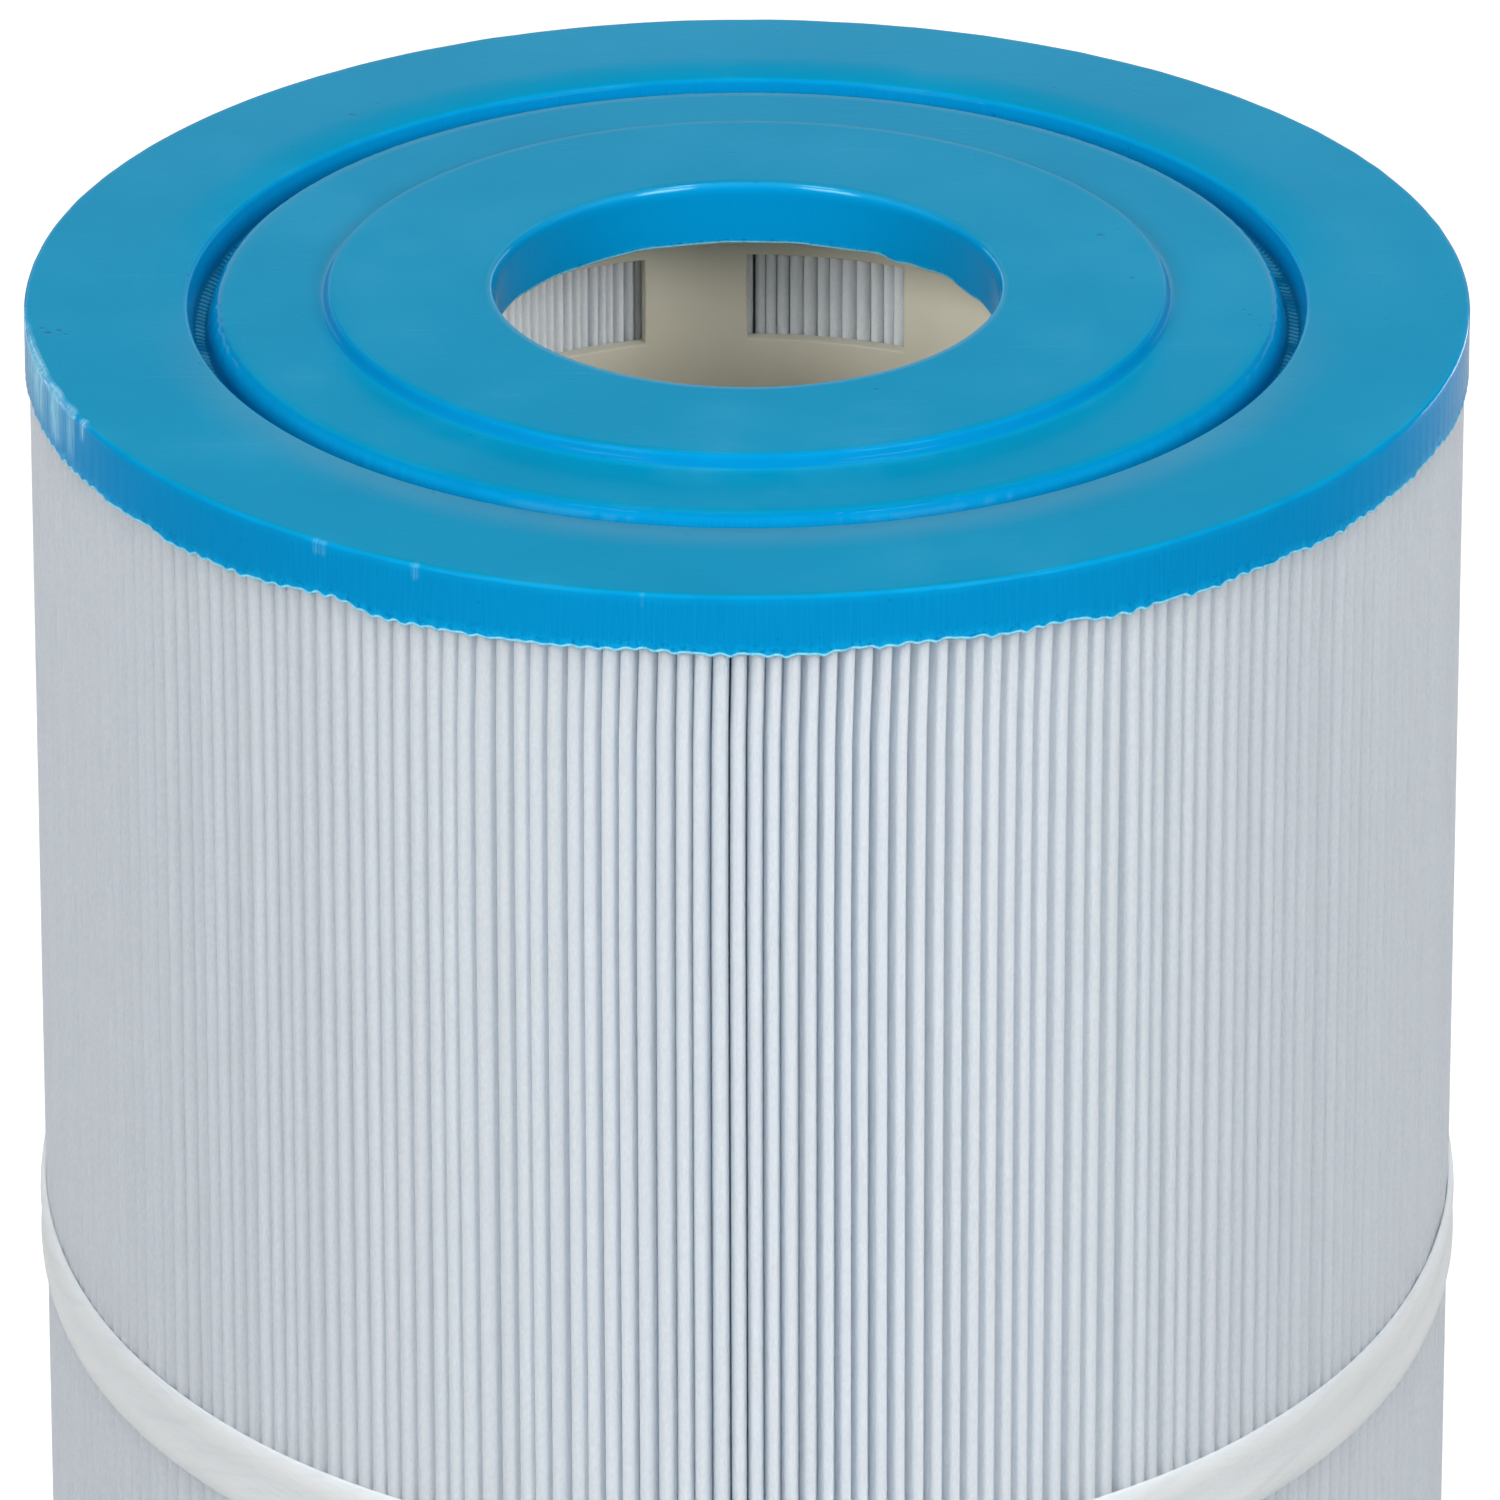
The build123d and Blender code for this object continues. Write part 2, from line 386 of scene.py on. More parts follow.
def cap_mesh(tips, seed, wear):
    """Cast cap, face at z = 0 and sealing ring above, as one closed surface with a ragged lip.
    Returns the vertices, the quads, and for every vertex its height above the lip and its wear."""
    rng = np.random.default_rng(seed)
    th = np.arange(SEG) / SEG * TAU
    # place of every column inside its own pleat: 0 at a tip, 0.5 in a gap
    tips = np.sort(np.mod(tips, TAU))
    ext = np.concatenate([[tips[-1] - TAU], tips, [tips[0] + TAU]])
    j = np.searchsorted(ext, th, side="right") - 1
    fr = (th - ext[j]) / (ext[j + 1] - ext[j])
    gap = 0.5 - 0.5 * np.cos(fr * TAU)                       # 0 on a tip, 1 in a gap
    pleat_no = j % PLEATS
    # lip: slow waves, quicker ones, scallops in the gaps and a few steps
    lip = (smooth_noise(SEG, 11, 0.26, rng) + smooth_noise(SEG, 37, 0.22, rng)
           + smooth_noise(SEG, 120, 0.20, rng) + smooth_noise(SEG, 420, 0.10, rng))
    scallop = rng.uniform(0.05, 0.50, PLEATS)[pleat_no]
    lip -= gap**1.5 * scallop
    if wear:
        d = round_dist(th, 238.5)                            # a step left of the front
        lip += 1.25 / (1 + np.exp(d * 130)) * np.exp(-(np.clip(-d, 0, None) / 0.16) ** 2)
    lip_z = -CAP_H + 0.05 + np.clip(lip, -0.75, 1.8)
    under = -CAP_UNDER + 0.35 + smooth_noise(SEG, 9, 0.08, rng) + smooth_noise(SEG, 60, 0.07, rng)
    if wear:
        d = round_dist(th, 40)
        under += np.exp(-(d / 0.40) ** 2) * (0.25 + smooth_noise(SEG, 80, 0.34, rng))
        under += 0.5 * np.exp(-(round_dist(th, 172) / 0.5) ** 2)
    # flutes where the cast skin shrinks over the pleat tips
    flute = -0.045 * (1 - gap) + smooth_noise(SEG, 300, 0.012, rng)

    q = math.sqrt(0.5)
    cols, marks = [], []

    def add(r, z, above=99.0, worn=0.0):
        r = np.broadcast_to(np.asarray(r, float), (SEG,))
        z = np.broadcast_to(np.asarray(z, float), (SEG,))
        cols.append(np.stack([r, z], -1))
        marks.append(np.stack([np.broadcast_to(np.asarray(above, float), (SEG,)),
                               np.broadcast_to(np.asarray(worn, float), (SEG,))], -1))

    br, bv = 0.75, 1.9                                       # mouth of the bore: how wide and how tall its round is
    bore_wob = smooth_noise(SEG, 8, 0.04, rng)
    mouth = smooth_noise(SEG, 14, 0.05, rng)
    # bore wall, from its ragged lower edge up
    add(BORE_R + 0.9, under - 0.02)
    add(BORE_R + 0.25, under + 0.02, 0.0)
    add(BORE_R + 0.02 + bore_wob, under + 0.30, 0.3)
    add(BORE_R + bore_wob, under + 0.9, 0.9)
    add(BORE_R + bore_wob * 0.5, -4.0)
    add(BORE_R + bore_wob * 0.5, RING_H - bv - 0.8)
    for a in np.radians([0, 22, 43, 61, 77, 90]):
        add(BORE_R + (br + mouth) * (1 - math.cos(a)) + bore_wob * 0.5 * math.cos(a), RING_H - bv + bv * math.sin(a))
    add(BORE_R + br + 1.3, RING_H)
    add(54.0, RING_H + smooth_noise(SEG, 7, 0.012, rng))
    add(64.2, RING_H)
    for a in np.radians([0, 30, 60, 84]):
        add(65.3 + 0.7 * math.sin(a), RING_H - 0.7 + 0.7 * math.cos(a))
    # concave foot of the sealing ring
    add(66.10, 1.0)
    add(66.36, 0.50)
    add(66.85, 0.16)
    add(67.6, 0.01)
    add(68.6, 0.0)
    add(75.0, smooth_noise(SEG, 6, 0.02, rng))
    add(80.6, 0.0)
    nib = np.clip(smooth_noise(SEG, 420, 0.05, rng), -0.1, 0.12)
    for a in np.radians([0, 26, 52, 76]):
        add(81.9 + 1.95 * math.sin(a) + nib * math.sin(a), -1.95 * (1 - math.cos(a)))
    add(84.30, -2.6)
    add(84.80, -3.9)
    # groove floor, printed by the ends of the pleats: one crease to each leg, in a zigzag
    k6 = np.arange(SEG) % 4
    amp = 0.34 * (0.75 + 0.25 * smooth_noise(SEG, 90, 1.0, rng))
    base = -4.95
    dash = -np.clip(0.75 + smooth_noise(SEG, 160, 0.35, rng), 0, 1.2)
    for rr, sh, share in ((85.05, 0, 0.5), (85.45, 0, 1.0), (85.90, 1, 1.0), (86.35, 2, 1.0), (86.80, 2, 0.5)):
        on = ((k6 + sh) % 4) < 2
        add(rr, base + (0.1 if rr > 86.7 else 0.0) + amp * on * share, 99.0, dash * on * share)
    add(87.05, -3.9)
    add(87.45, -2.2)
    add(87.75, -0.7)
    add(87.98, -0.22)
    add(88.50, 0.0)
    add(97.0, smooth_noise(SEG, 9, 0.02, rng))
    add(106.0, smooth_noise(SEG, 9, 0.02, rng))
    # outer top edge, rubbed away on one side and nicked in two or three places
    rub = np.zeros(SEG)
    nick = np.zeros(SEG)
    if wear:
        rub = np.exp(-(round_dist(th, 195) / 0.15) ** 2) * (1.05 + smooth_noise(SEG, 300, 0.40, rng))
        rub = np.clip(rub, 0, 1.5)
        for deg, w, h in ((234.8, 0.010, 0.28), (235.6, 0.005, 0.22), (243.7, 0.008, 0.32), (205.3, 0.006, 0.8), (262.0, 0.006, 0.2)):
            nick += h * np.exp(-(round_dist(th, deg) / w) ** 2)
    edge_n = smooth_noise(SEG, 200, 0.025, rng)
    c = 0.65
    add(CAP_R - c - 0.7, 0.0, 99.0, rub * 0.04)
    for a in np.radians([0, 22, 45, 68, 90]):
        cut = (0.34 * rub + 0.25 * nick + edge_n) * math.sin(2 * a)
        add(CAP_R - c + c * math.sin(a) - cut * q, -c + c * math.cos(a) - cut * q,
            99.0, (rub + nick) * (0.6 + 0.4 * math.sin(2 * a)))
    add(CAP_R + flute * 0.3 - 0.08 * rub, -1.9, 99.0, (rub + nick) * 0.8)
    # outer wall, down to a thin bead that feathers on to the pleats
    lo = lip_z + 1.3
    for f in (0.25, 0.5, 0.75):
        z = -1.9 + (lo + 1.9) * f
        add(CAP_R + flute * (0.4 + 0.6 * f), z, z - lip_z, rub * (0.85 - 0.55 * f))
    add(CAP_R + flute, lo, 1.3, rub * 0.1)
    add(CAP_R + flute * 1.1 + 0.02, lip_z + 0.8, 0.8)
    add(CAP_R + flute + 0.03, lip_z + 0.35, 0.35)
    add(CAP_R + flute - 0.06, lip_z + 0.08, 0.08)
    add(CAP_R - 0.30, lip_z - 0.02, 0.0)
    add(CAP_R - 0.80, lip_z + 0.12 + 0.15 * gap, 0.0)
    # underside between the pleats, back to the core and the bore
    add(112.0, np.minimum(lip_z + 0.9, -CAP_UNDER), 0.5)
    add(108.0, under - 0.1)
    add(86.0, under)
    add(62.5, under)
    add(50.0, under)
    prof = np.stack(cols, 0)                                  # (P, SEG, 2)
    P = prof.shape[0]
    r, z = prof[..., 0], prof[..., 1]
    v = np.stack([r * np.cos(th)[None], r * np.sin(th)[None], z], -1)
    return v.reshape(-1, 3), grid_quads(P, SEG, True, True), np.stack(marks, 0).reshape(-1, 2)


def add_marks(ob, marks):
    for k, name in enumerate(("above_lip", "worn")):
        at = ob.data.attributes.new(name, "FLOAT", "POINT")
        at.data.foreach_set("value", marks[:, k].astype(np.float32))


def end_caps():
    v, q, marks = cap_mesh(TIP_A[-2], 5, True)
    v[:, 2] += FACE
    top = make_object("top_cap_cast", v, q[:, ::-1])
    add_marks(top, marks)
    v, q, marks = cap_mesh(-TIP_A[1], 23, False)
    # the lower cap is the same casting turned over about the X axis
    v = v * np.array([1.0, -1.0, -1.0])
    v[:, 2] += RING_H
    bottom = make_object("bottom_cap_cast", v, q[:, ::-1])
    add_marks(bottom, marks)
    return top, bottom


# ------------------------------------------------------------------ core tube
def core_tube():
    rows, cols_n = 21, 9
    first = FACE - 19.4 - 7.4
    pitch = (first - (LENGTH - first)) / (rows - 1)
    wh = 14.8
    half_w = math.asin(26.3 / 2 / ((CORE_IN + CORE_OUT) / 2))
    win_az = math.radians(90 - 12.2)
    a_lines, a_kind = [], []
    for c in range(cols_n):
        mid = win_az + c * TAU / cols_n
        for f in (0, 1, 2, 3, 4, 5):
            a_lines.append(mid - half_w + 2 * half_w * f / 6)
            a_kind.append(1)
        rib = TAU / cols_n - 2 * half_w
        for f in range(4):
            a_lines.append(mid + half_w + rib * f / 4)
            a_kind.append(0)
    a_lines = np.array(a_lines)
    a_kind = np.array(a_kind)                                # kind of the cell that starts at this line
    z_lines, z_kind = [PACK_LO], [0]
    for k in range(rows - 1, -1, -1):
        zc = first - k * pitch
        z_lines += [zc - wh / 2, zc - wh / 6, zc + wh / 6, zc + wh / 2]
        z_kind += [1, 1, 1, 0]
    z_lines.append(PACK_HI)
    z_lines = np.array(z_lines)
    z_kind = np.array(z_kind)
    A, Z = len(a_lines), len(z_lines)
    inner = np.stack([np.stack([CORE_IN * np.cos(a_lines), CORE_IN * np.sin(a_lines), np.full(A, z)], -1) for z in z_lines])
    outer = np.stack([np.stack([CORE_OUT * np.cos(a_lines), CORE_OUT * np.sin(a_lines), np.full(A, z)], -1) for z in z_lines])
    verts = np.concatenate([inner.reshape(-1, 3), outer.reshape(-1, 3)])
    N1 = A * Z
    solid = ~((z_kind[:, None] == 1) & (a_kind[None, :] == 1))  # (Z-1, A)
    quads = []
    for i in range(Z - 1):
        for j in range(A):
            if not solid[i, j]:
                continue
            j2 = (j + 1) % A
            a, b, c, d = i * A + j, i * A + j2, (i + 1) * A + j2, (i + 1) * A + j
            quads.append((d, c, b, a))
            quads.append((a + N1, b + N1, c + N1, d + N1))
            if i == 0 or not solid[i - 1, j]:
                quads.append((a, b, b + N1, a + N1))
            if i == Z - 2 or not solid[i + 1, j]:
                quads.append((c, d, d + N1, c + N1))
            if not solid[i, (j - 1) % A]:
                quads.append((d, a, a + N1, d + N1))
            if not solid[i, (j + 1) % A]:
                quads.append((b, c, c + N1, b + N1))
    import bmesh
    ob = make_object("core_tube_moulded", verts, quads)
    bm = bmesh.new()
    bm.from_mesh(ob.data)
    loose = [v for v in bm.verts if not v.link_faces]
    bmesh.ops.delete(bm, geom=loose, context="VERTS")
    bmesh.ops.recalc_face_normals(bm, faces=bm.faces)
    edges = [e for e in bm.edges if len(e.link_faces) == 2 and e.calc_face_angle(0) > math.radians(40)]
    bmesh.ops.bevel(bm, geom=edges, offset=0.28 * MM, segments=2, profile=0.6, affect="EDGES")
    for f in bm.faces:
        f.smooth = True
    bm.to_mesh(ob.data)
    bm.free()
    return ob


# ------------------------------------------------------------------ straps
def strap(name, node, lap_deg, seed, dip=0.0):
    """Strap laid round the tips in one turn and a bit, its outer end over its inner end.
    It may lie out of level, lower in front and higher behind by dip."""
    rng = np.random.default_rng(seed)
    lo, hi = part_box(node)
    zc = (lo.z + hi.z) / 2 / MM
    w = 13.6
    lap = 24.0 / 113.5
    n = 860
    s = np.linspace(0, TAU + lap, n)
    start = math.radians(lap_deg) - lap / 2
    th = start + s
    # outer end rides up over the inner end
    up = np.clip((s - (TAU - 0.030)) / 0.030, 0, 1)
    up = up * up * (3 - 2 * up) * 0.80
    wave = smooth_noise(n, 13, 0.16, rng, False) + smooth_noise(n, 60, 0.04, rng, False)
    # section: hemmed edges, thinner web between, back lying on the tips
    sec_out = [(-0.5, 0.04), (-0.494, 0.26), (-0.465, 0.52), (-0.41, 0.74), (-0.34, 0.88), (-0.27, 0.93),
               (-0.20, 0.88), (-0.10, 0.78), (0.0, 0.72), (0.10, 0.78), (0.20, 0.88), (0.27, 0.93),
               (0.34, 0.88), (0.41, 0.74), (0.465, 0.52), (0.494, 0.26), (0.5, 0.04)]
    sec_in = [(0.47, -0.02), (0.25, 0.02), (0.0, 0.03), (-0.25, 0.02), (-0.47, -0.02)]
    sec = sec_out + sec_in
    m = len(sec)
    r0 = 112.86
    crease = [smooth_noise(n, 26, 0.035, rng, False) for _ in range(3)]
    v = np.zeros((n, m, 3))
    for k, (u, t) in enumerate(sec):
        hem = 1.0 if abs(u) > 0.3 and t > 0.3 else 0.0
        lumps = smooth_noise(n, 150, 0.018, rng, False) * hem
        web = (crease[0] * (abs(u) < 0.2) + crease[1] * (0.2 <= u < 0.35) + crease[2] * (-0.35 < u <= -0.2)) * (t > 0.3)
        r = r0 + t + up + lumps + web
        z = zc + u * (w - 0.5) + wave + dip * np.sin(th)
        v[:, k, 0] = r * np.cos(th)
        v[:, k, 1] = r * np.sin(th)
        v[:, k, 2] = z
    quads = grid_quads(n, m, False, True)
    ob = make_object(name, v.reshape(-1, 3), quads)
    import bmesh
    bm = bmesh.new()
    bm.from_mesh(ob.data)
    bm.verts.ensure_lookup_table()
    for first in (0, (n - 1) * m):
        f = bm.faces.new([bm.verts[first + k] for k in range(m)])
    bmesh.ops.recalc_face_normals(bm, faces=bm.faces)
    bmesh.ops.triangulate(bm, faces=[f for f in bm.faces if len(f.verts) > 4])
    for f in bm.faces:
        f.smooth = True
    bm.to_mesh(ob.data)
    bm.free()
    sharp_by_angle(ob, 50)
    return ob


# ------------------------------------------------------------------ side seam
def seam_bead():
    """Ribbon of cured adhesive between the two end pleats, swelling and dipping along its edge."""
    rng = np.random.default_rng(61)
    n = 240
    z = np.linspace(PACK_LO, PACK_HI, n)
    edge = 111.9 + smooth_noise(n, 30, 0.16, rng, False) + smooth_noise(n, 110, 0.08, rng, False)
    half = 0.62 + smooth_noise(n, 50, 0.05, rng, False)
    shift = smooth_noise(n, 14, 0.06, rng, False)
    sec = [(0.0, -0.9), (0.3, -1.0), (0.7, -1.0), (0.93, -1.0), (0.985, -0.72), (1.0, -0.3), (1.0, 0.3),
           (0.985, 0.72), (0.93, 1.0), (0.7, 1.0), (0.3, 1.0), (0.0, 0.9)]
    m = len(sec)
    v = np.zeros((n, m, 3))
    ca, sa = math.cos(SEAM_AZ), math.sin(SEAM_AZ)
    for k, (f, t) in enumerate(sec):
        r = 90.2 + (edge - 90.2) * f
        tt = half * t + shift
        v[:, k, 0] = r * ca - tt * sa
        v[:, k, 1] = r * sa + tt * ca
        v[:, k, 2] = z
    ob = make_object("seam_adhesive_bead", v.reshape(-1, 3), grid_quads(n, m, False, True))
    import bmesh
    bm = bmesh.new()
    bm.from_mesh(ob.data)
    bm.verts.ensure_lookup_table()
    for first in (0, (n - 1) * m):
        bm.faces.new([bm.verts[first + k] for k in range(m)])
    bmesh.ops.recalc_face_normals(bm, faces=bm.faces)
    bmesh.ops.triangulate(bm, faces=[f for f in bm.faces if len(f.verts) > 4])
    for f in bm.faces:
        f.smooth = True
    bm.to_mesh(ob.data)
    bm.free()
    return ob


# ------------------------------------------------------------------ materials
# Linear colours.
WALL_A, WALL_B = (0.0001, 0.200, 0.448), (0.0002, 0.219, 0.480)
FACE_A, FACE_B = (0.0001, 0.242, 0.432), (0.0008, 0.264, 0.464)
CAP_SPEC = 0.105
FAB_A, FAB_B, FAB_C = (0.880, 0.918, 0.955), (0.948, 0.972, 0.990), (0.915, 0.942, 0.970)
FAB_THROUGH = 0.60
CORE_A, CORE_B = (0.79, 0.74, 0.585), (0.83, 0.78, 0.635)
STRAP_A, STRAP_B = (0.845, 0.885, 0.915), (0.915, 0.915, 0.90)
STRAP_THROUGH = 0.45


def mat_cap(name, face_z, up):
    """Cast polyurethane. face_z is the height of the cap's outer face, up is +1 where it looks up."""
    m = Mat(name)
    r, a, z, x, y = m.cylinder()
    h = m.math("MULTIPLY", m.math("SUBTRACT", z, face_z), up)            # height over the face, metres
    on_face = m.range(h, -0.0016, -0.0002, 0, 1, "SMOOTHSTEP")
    geo = m.n("ShaderNodeNewGeometry")
    nsep = m.n("ShaderNodeSeparateXYZ")
    m.link(geo.outputs["Normal"], nsep.inputs[0])
    flat = m.math("MULTIPLY", m.range(m.math("ABSOLUTE", nsep.outputs[2]), 0.80, 0.985, 0, 1, "SMOOTHSTEP"), on_face)
    above = m.n("ShaderNodeAttribute", attribute_name="above_lip").outputs["Fac"]
    worn = m.n("ShaderNodeAttribute", attribute_name="worn").outputs["Fac"]

    cloud = m.noise(m.coord, 22.0, 4.0, 0.6)
    cloud2 = m.noise(m.coord, 95.0, 3.0, 0.6)
    grain = m.noise(m.coord, 700.0, 2.0, 0.6)
    wall = m.mix(cloud, WALL_A, WALL_B)
    face = m.mix(m.range(cloud, 0.35, 0.65), FACE_A, FACE_B)
    col = m.mix(flat, wall, face)

    col = m.mix(m.math("MULTIPLY", m.range(r, 0.0404, 0.0400), m.math("SUBTRACT", 1.0, flat)), col, (0.0001, 0.240, 0.525))

    # the flat faces are a little scuffed: fine turning marks round the axis and longer stray ones
    ring_v = m.combine(m.math("MULTIPLY", r, 2600.0), m.math("MULTIPLY", a, 9.0), 0.0)
    turn = m.noise(ring_v, 1.0, 2.0, 0.6)
    stray = m.noise(m.mapping(m.coord, (40.0, 900.0, 40.0), (0, 0, 0.12)), 1.0, 3.0, 0.6)
    scuff = m.math("MULTIPLY", m.math("MAXIMUM", m.range(turn, 0.60, 0.78), m.range(stray, 0.62, 0.80)),
                   m.range(cloud2, 0.42, 0.66))
    scuff = m.math("MULTIPLY", scuff, flat)
    chalk = m.math("MULTIPLY", m.math("MULTIPLY", m.range(cloud, 0.50, 0.72), m.range(cloud2, 0.35, 0.7)), flat)
    col = m.mix(m.math("MULTIPLY", scuff, 0.30), col, (0.05, 0.38, 0.60))
    col = m.mix(m.math("MULTIPLY", chalk, 0.22), col, (0.10, 0.33, 0.50))

    # painted highlight and glow: the sharp edges are painted lighter, standing in for the light that passes through
    # their thin casting and catches on their rounds
    def near(v, at, w):
        return m.range(m.math("ABSOLUTE", m.math("SUBTRACT", v, at)), 0.0, w, 1.0, 0.0, "SMOOTHSTEP")

    edge = near(r, 0.11325, 0.0006)
    edge = m.math("MULTIPLY", edge, m.range(h, -0.0016, -0.0006, 0, 1))
    e2 = m.math("MULTIPLY", near(r, 0.0839, 0.0011), m.range(h, -0.0022, -0.0008, 0, 1))
    e3 = m.math("MULTIPLY", near(r, 0.0661, 0.0007), m.range(h, 0.0006, 0.0016, 0, 1))
    e4 = m.math("MULTIPLY", near(r, 0.0881, 0.0006), m.range(h, -0.0012, -0.0002, 0, 1))
    e5 = m.math("MULTIPLY", near(r, 0.0402, 0.0007), m.range(h, -0.0004, 0.0012, 0, 1))
    edges = m.math("MAXIMUM", m.math("MAXIMUM", edge, e2), m.math("MAXIMUM", e3, m.math("MAXIMUM", e4, e5)))
    edges = m.math("MULTIPLY", edges, m.range(cloud2, 0.25, 0.6, 0.35, 1.0))
    # painted highlight and glow: pale blue mixed into the colour along the edges
    col = m.mix(m.math("MULTIPLY", edges, 0.28), col, (0.003, 0.40, 0.72))

    # mottled band over the ragged lip, and the thin skin at the lip itself
    blot = m.noise(m.mapping(m.coord, (1, 1, 0.6)), 1100.0, 3.0, 0.65)
    band = m.math("MULTIPLY", m.range(above, 0.5, 2.3, 1.0, 0.0, "SMOOTHSTEP"), m.range(blot, 0.36, 0.62, 0.15, 1.0))
    col = m.mix(m.math("MULTIPLY", band, 0.50), col, (0.004, 0.36, 0.66))
    peck = m.math("MULTIPLY", m.range(above, 0.4, 3.4, 1.0, 0.0, "SMOOTHSTEP"),
                  m.range(m.noise(m.coord, 1300.0, 2.0, 0.5), 0.55, 0.63))
    col = m.mix(m.math("MULTIPLY", peck, 0.6), col, (0.0, 0.13, 0.33))
    skin = m.math("MULTIPLY", m.range(above, 0.34, 0.62, 1.0, 0.0, "SMOOTHSTEP"), m.range(blot, 0.30, 0.50, 0.55, 1.0))
    col = m.mix(m.math("MULTIPLY", skin, 0.92), col, (0.28, 0.76, 0.94))
    streak_v = m.combine(m.math("MULTIPLY", a, 260.0), 0.0, m.math("MULTIPLY", z, 60.0))
    streak = m.noise(streak_v, 1.0, 2.0, 0.6)
    down = m.math("MULTIPLY", m.math("SUBTRACT", 1.0, on_face), m.range(streak, 0.45, 0.75))
    col = m.mix(m.math("MULTIPLY", down, 0.20), col, (0.004, 0.36, 0.74))

    # rubbed edge: pale, with scratches that run down the wall
    scr_v = m.combine(m.math("MULTIPLY", a, 420.0), m.math("MULTIPLY", r, 160.0), m.math("MULTIPLY", z, 90.0))
    scr = m.noise(scr_v, 1.0, 3.0, 0.7)
    rub = m.math("MULTIPLY", m.range(worn, 0.10, 0.80), m.range(scr, 0.38, 0.56, 0.06, 1.0))
    rub = m.math("MULTIPLY", rub, 0.9, clamp=True)
    col = m.mix(rub, col, (0.30, 0.66, 0.82))
    # painted shade: the floor of the groove is painted dark, as shade down in the recess, and the crease dashes on it
    # are painted paler
    dash = m.math("MULTIPLY", m.range(worn, -0.15, -0.85), m.range(h, -0.0035, -0.0045))
    groove_painted_shade = m.math("MULTIPLY", m.range(h, -0.0030, -0.0042), m.range(m.math("ABSOLUTE", m.math("SUBTRACT", r, 0.0859)), 0.0013, 0.0008))
    col = m.mix(m.math("MULTIPLY", groove_painted_shade, 0.55), col, (0.0, 0.095, 0.22))
    col = m.mix(m.math("MULTIPLY", m.math("MULTIPLY", dash, groove_painted_shade), 0.62), col, (0.07, 0.42, 0.60))

    # pits and specks
    pit = m.voronoi(m.coord, 150.0)
    pit_v = m.range(pit.outputs["Distance"], 0.03, 0.075, 1, 0)
    keep = m.n("ShaderNodeTexWhiteNoise", noise_dimensions="3D")
    m.link(pit.outputs["Position"], keep.inputs[0])
    pit_v = m.math("MULTIPLY", pit_v, m.math("GREATER_THAN", keep.outputs[0], 0.94))
    tiny = m.voronoi(m.coord, 520.0)
    tiny_v = m.range(tiny.outputs["Distance"], 0.08, 0.16, 1, 0)
    keep2 = m.n("ShaderNodeTexWhiteNoise", noise_dimensions="3D")
    m.link(tiny.outputs["Position"], keep2.inputs[0])
    tiny_v = m.math("MULTIPLY", tiny_v, m.math("GREATER_THAN", keep2.outputs[0], 0.95))
    dots = m.math("MAXIMUM", pit_v, m.math("MULTIPLY", tiny_v, 0.6))
    col = m.mix(m.math("MULTIPLY", dots, 0.45), col, (0.0, 0.10, 0.22))
    if up > 0:
        # single marks: (x, y, reach in mm, darkness)
        spots = None
        for sx, sy, sr, k in ((-109.2, -14.5, 0.9, 0.8), (-107.6, -13.6, 0.7, 0.7), (-106.4, -15.2, 0.6, 0.7),
                              (-110.2, -12.8, 0.6, 0.6), (-63.6, 72.8, 0.9, 0.7), (55.9, 19.0, 0.9, 0.7),
                              (-87.9, 8.0, 0.7, 0.6), (77.9, -5.6, 0.5, 0.6), (78.7, -7.6, 0.45, 0.6),
                              (79.4, -9.6, 0.45, 0.6), (80.0, -11.8, 0.4, 0.5)):
            node = m.n("ShaderNodeVectorMath", operation="DISTANCE")
            m.link(m.combine(x, y, 0.0), node.inputs[0])
            node.inputs[1].default_value = (sx * MM, sy * MM, 0.0)
            v = m.math("MULTIPLY", m.range(node.outputs["Value"], 0.35 * sr * MM, sr * MM, 1.0, 0.0, "SMOOTHSTEP"), k)
            spots = v if spots is None else m.math("MAXIMUM", spots, v)
        spots = m.math("MULTIPLY", m.math("MULTIPLY", spots, flat), m.range(grain, 0.35, 0.6, 0.3, 1.0))
        col = m.mix(m.math("MULTIPLY", spots, 0.75), col, (0.002, 0.07, 0.14))
        dots = m.math("MAXIMUM", dots, spots)

    rough = m.range(cloud2, 0.2, 0.8, 0.08, 0.12)
    rough = m.math("ADD", rough, m.math("MULTIPLY", flat, 0.24))
    rough = m.math("ADD", rough, m.math("MULTIPLY", m.math("MAXIMUM", m.math("MAXIMUM", scuff, chalk), rub), 0.18))
    rough = m.math("ADD", rough, m.math("MULTIPLY", band, 0.12))
    m.set(m.bsdf, Base_Color=col, Roughness=rough)
    round_lip = m.math("MULTIPLY", m.range(r, 0.03985, 0.0400), m.range(r, 0.0406, 0.0412, 1.0, 0.0))
    spec = m.math("ADD", m.math("MULTIPLY", flat, CAP_SPEC - 0.03), 0.03)
    m.set(m.bsdf, Specular_IOR_Level=m.math("ADD", spec, m.math("MULTIPLY", round_lip, 0.55)))
    m.bsdf.inputs["Specular Tint"].default_value = (0.55, 0.90, 1.0, 1.0)
    n1 = m.bump(grain, 0.12, 0.00015)
    n2 = m.bump(m.math("MULTIPLY", dots, -1.0), 0.6, 0.0002, n1)
    n3 = m.bump(m.math("MULTIPLY", scuff, -1.0), 0.25, 0.0001, n2)
    n4 = m.bump(m.math("MULTIPLY", rub, -1.0), 0.5, 0.0002, n3)
    n5 = m.bump(m.math("MULTIPLY", blot, m.math("MULTIPLY", band, 1.0)), 0.4, 0.0003, n4)
    m.link(n5, m.bsdf.inputs["Normal"])
    return m.m


